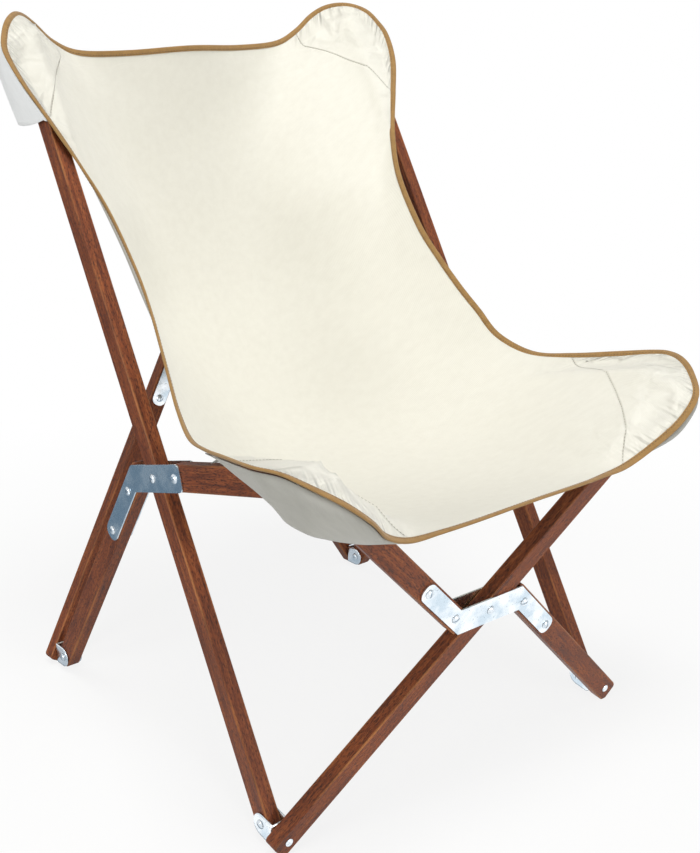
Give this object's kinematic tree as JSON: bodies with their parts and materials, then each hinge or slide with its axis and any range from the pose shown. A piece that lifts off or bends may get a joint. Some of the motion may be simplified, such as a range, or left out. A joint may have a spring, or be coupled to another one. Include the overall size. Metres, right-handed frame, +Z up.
{
  "type": "butterfly sling chair",
  "caption": "Folding butterfly sling chair: scissor frames of hardwood boards joined in a ring by sheet metal hubs, with a canvas sling hung over the upper corners.",
  "frame": {"origin": "on the floor under the middle of the bounding box", "axes": "+Z up, -Y the way the sitter faces, +X the sitter's left"},
  "size_m": [0.709, 0.7682, 0.9635],
  "materials": {
    "hardwood": "reddish brown hardwood, oiled, with open pores",
    "zinc": "zinc-plated sheet steel, slightly bluish",
    "canvas": "heavy off-white cotton canvas",
    "pocket_canvas": "the same canvas seen on its underside",
    "braid": "tan woven tape, stitched"
  },
  "bodies": {
    "right_front_foot": {"right_front_foot_bracket": "zinc", "right_front_foot_screw": "zinc"},
    "front_long_board": {"front_cross_long": "hardwood"},
    "front_split_board": {"front_cross_lower": "hardwood", "front_cross_upper": "hardwood", "front_plate_outer": "zinc", "front_plate_inner": "zinc", "front_plate_screw_1": "zinc", "front_plate_screw_2": "zinc", "front_plate_screw_3": "zinc", "front_plate_screw_4": "zinc", "front_plate_screw_5": "zinc"},
    "left_front_foot": {"left_front_foot_bracket": "zinc", "left_front_foot_screw": "zinc"},
    "right_front_ear": {"right_front_ear_bracket": "zinc", "right_front_ear_screw": "zinc"},
    "left_front_ear": {"left_front_ear_bracket": "zinc", "left_front_ear_screw": "zinc"},
    "right_upright": {"right_upright": "hardwood", "sling": "canvas", "sling_binding": "braid", "right_rear_pocket": "pocket_canvas", "left_rear_pocket": "pocket_canvas", "right_front_pocket": "pocket_canvas", "left_front_pocket": "pocket_canvas"},
    "left_upright": {"left_upright": "hardwood"},
    "right_rear_leg": {"right_rear_leg": "hardwood", "right_plate_outer": "zinc", "right_plate_inner": "zinc", "right_plate_screw_1": "zinc", "right_plate_screw_2": "zinc", "right_plate_screw_3": "zinc"},
    "left_rear_leg": {"left_rear_leg": "hardwood", "left_plate_outer": "zinc", "left_plate_inner": "zinc", "left_plate_screw_1": "zinc", "left_plate_screw_2": "zinc", "left_plate_screw_3": "zinc"},
    "right_rear_foot": {"right_rear_foot_bracket": "zinc", "right_rear_foot_screw": "zinc"},
    "left_rear_foot": {"left_rear_foot_bracket": "zinc", "left_rear_foot_screw": "zinc"},
    "rear_split_board": {"rear_cross_lower": "hardwood", "rear_cross_upper": "hardwood", "rear_plate_outer": "zinc", "rear_plate_inner": "zinc", "rear_plate_screw_1": "zinc", "rear_plate_screw_2": "zinc", "rear_plate_screw_3": "zinc", "rear_plate_screw_4": "zinc", "rear_plate_screw_5": "zinc"},
    "rear_long_board": {"rear_cross_long": "hardwood"},
    "right_rear_ear": {"right_rear_ear_bracket": "zinc", "right_rear_ear_screw": "zinc"},
    "left_rear_ear": {"left_rear_ear_bracket": "zinc", "left_rear_ear_screw": "zinc"},
    "right_arm_board": {"right_arm_board": "hardwood"},
    "left_arm_board": {"left_arm_board": "hardwood"}
  },
  "joints": [
    {"name": "right_front_foot_rivet_turn", "type": "hinge", "parent": "right_front_foot", "child": "front_long_board", "pos_m": [-0.29, -0.27105, 0.02], "axis": [0, -0.9903, -0.1387], "range_deg": [0, 35]},
    {"name": "fold", "type": "hinge", "parent": "front_long_board", "child": "front_split_board", "pos_m": [0, -0.3036, 0.2525], "axis": [0, 0.9903, 0.1387], "range_deg": [0, 70], "deforming": ["sling", "sling_binding", "right_rear_pocket", "left_rear_pocket", "right_front_pocket", "left_front_pocket"]},
    {"name": "left_front_foot_rivet_turn", "type": "hinge", "parent": "front_split_board", "child": "left_front_foot", "pos_m": [0.29, -0.27105, 0.02], "axis": [0, -0.9903, -0.1387], "range_deg": [0, 35]},
    {"name": "right_front_ear_rivet_turn", "type": "hinge", "parent": "front_split_board", "child": "right_front_ear", "pos_m": [-0.29, -0.33615, 0.485], "axis": [0, -0.9903, -0.1387], "range_deg": [0, 35]},
    {"name": "left_front_ear_rivet_turn", "type": "hinge", "parent": "front_long_board", "child": "left_front_ear", "pos_m": [0.29, -0.33615, 0.485], "axis": [0, -0.9903, -0.1387], "range_deg": [-35, 0]},
    {"name": "right_front_foot_screw_turn", "type": "hinge", "parent": "right_front_foot", "child": "right_upright", "pos_m": [-0.29, -0.23936, 0.02444], "axis": [1, 0, 0], "range_deg": [0, 24.8]},
    {"name": "right_side_pivot_turn", "type": "hinge", "parent": "right_upright", "child": "right_rear_leg", "pos_m": [-0.29, -0.00983, 0.4], "axis": [1, 0, 0], "range_deg": [-41.9, 0]},
    {"name": "right_rear_foot_screw_turn", "type": "hinge", "parent": "right_rear_leg", "child": "right_rear_foot", "pos_m": [-0.29, 0.25701, 0.02195], "axis": [1, 0, 0], "range_deg": [0, 24.7]},
    {"name": "right_rear_ear_screw_turn", "type": "hinge", "parent": "right_upright", "child": "right_rear_ear", "pos_m": [-0.29, 0.31222, 0.92695], "axis": [1, 0, 0], "range_deg": [-17.3, 0]},
    {"name": "right_arm_board_turn", "type": "hinge", "parent": "right_front_ear", "child": "right_arm_board", "pos_m": [-0.29, -0.30446, 0.48944], "axis": [1, 0, 0], "range_deg": [-50.8, 0]},
    {"name": "left_front_foot_screw_turn", "type": "hinge", "parent": "left_front_foot", "child": "left_upright", "pos_m": [0.29, -0.23936, 0.02444], "axis": [1, 0, 0], "range_deg": [0, 24.8]},
    {"name": "left_side_pivot_turn", "type": "hinge", "parent": "left_upright", "child": "left_rear_leg", "pos_m": [0.29, -0.00983, 0.4], "axis": [1, 0, 0], "range_deg": [-41.9, 0]},
    {"name": "left_rear_foot_screw_turn", "type": "hinge", "parent": "left_rear_leg", "child": "left_rear_foot", "pos_m": [0.29, 0.25701, 0.02195], "axis": [1, 0, 0], "range_deg": [0, 24.7]},
    {"name": "left_rear_ear_screw_turn", "type": "hinge", "parent": "left_upright", "child": "left_rear_ear", "pos_m": [0.29, 0.31222, 0.92695], "axis": [1, 0, 0], "range_deg": [-17.3, 0]},
    {"name": "left_arm_board_turn", "type": "hinge", "parent": "left_front_ear", "child": "left_arm_board", "pos_m": [0.29, -0.30446, 0.48944], "axis": [1, 0, 0], "range_deg": [-50.8, 0]},
    {"name": "right_rear_foot_rivet_turn", "type": "hinge", "parent": "right_rear_foot", "child": "rear_split_board", "pos_m": [-0.29, 0.28895, 0.02], "axis": [0, -0.9981, 0.0609], "range_deg": [0, 21.1]},
    {"name": "rear_pivot_turn", "type": "hinge", "parent": "rear_split_board", "child": "rear_long_board", "pos_m": [0, 0.31655, 0.4725], "axis": [0, -0.9981, 0.0609], "range_deg": [-42.2, 0]}
  ],
  "couplings": [
    {"joint": "right_front_foot_rivet_turn", "follows": "fold", "ratio": 0.5},
    {"joint": "left_front_foot_rivet_turn", "follows": "fold", "ratio": 0.5},
    {"joint": "right_front_ear_rivet_turn", "follows": "fold", "ratio": 0.5},
    {"joint": "left_front_ear_rivet_turn", "follows": "fold", "ratio": -0.5},
    {"joint": "right_front_foot_screw_turn", "follows": "fold", "ratio": 0.354},
    {"joint": "right_side_pivot_turn", "follows": "fold", "ratio": -0.598},
    {"joint": "right_rear_foot_screw_turn", "follows": "fold", "ratio": 0.352},
    {"joint": "right_rear_ear_screw_turn", "follows": "fold", "ratio": -0.246},
    {"joint": "right_arm_board_turn", "follows": "fold", "ratio": -0.725},
    {"joint": "left_front_foot_screw_turn", "follows": "fold", "ratio": 0.354},
    {"joint": "left_side_pivot_turn", "follows": "fold", "ratio": -0.598},
    {"joint": "left_rear_foot_screw_turn", "follows": "fold", "ratio": 0.352},
    {"joint": "left_rear_ear_screw_turn", "follows": "fold", "ratio": -0.246},
    {"joint": "left_arm_board_turn", "follows": "fold", "ratio": -0.725},
    {"joint": "right_rear_foot_rivet_turn", "follows": "fold", "ratio": 0.301},
    {"joint": "rear_pivot_turn", "follows": "fold", "ratio": -0.602}
  ]
}
